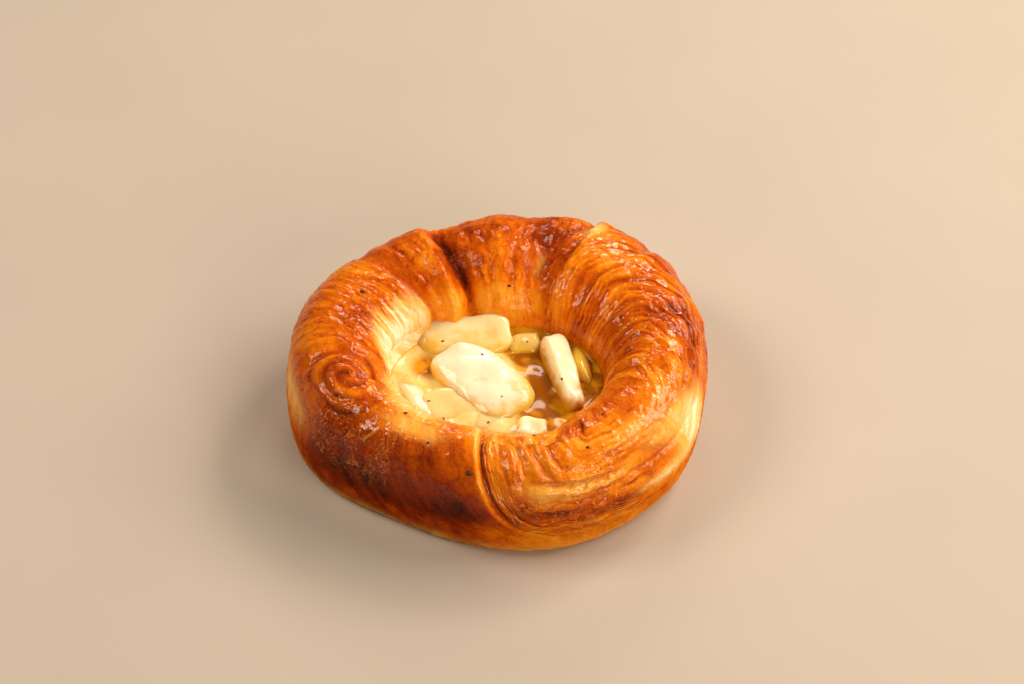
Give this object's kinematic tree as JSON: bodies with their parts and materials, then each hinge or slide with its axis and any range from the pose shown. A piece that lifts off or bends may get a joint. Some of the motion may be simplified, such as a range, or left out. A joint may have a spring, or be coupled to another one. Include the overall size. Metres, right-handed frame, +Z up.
{
  "type": "danish pastry",
  "caption": "Round glazed laminated pastry ring with folded layers, its sunken middle filled with custard and pieces of cooked fruit.",
  "frame": {"origin": "on the flat underside, below the middle of the ring", "axes": "+Z up out of the filled well, -Y towards the front seam, +X to the right"},
  "size_m": [0.1068, 0.1024, 0.0327],
  "materials": {
    "dough": "satin",
    "custard": "gloss",
    "fruit_slice_front": "gloss",
    "fruit_lump": "gloss",
    "fruit_slab_right": "gloss",
    "fruit_slab_back_left": "gloss",
    "fruit_piece_back": "gloss",
    "fruit_wedge_far_right": "gloss",
    "fruit_slice_front_left": "gloss",
    "fruit_chunk_front": "gloss"
  },
  "bodies": {
    "root": {"dough": "dough", "custard": "custard", "fruit_slice_front": "fruit_slice_front", "fruit_lump": "fruit_lump", "fruit_slab_right": "fruit_slab_right", "fruit_slab_back_left": "fruit_slab_back_left", "fruit_piece_back": "fruit_piece_back", "fruit_wedge_far_right": "fruit_wedge_far_right", "fruit_slice_front_left": "fruit_slice_front_left", "fruit_chunk_front": "fruit_chunk_front"}
  },
  "joints": []
}
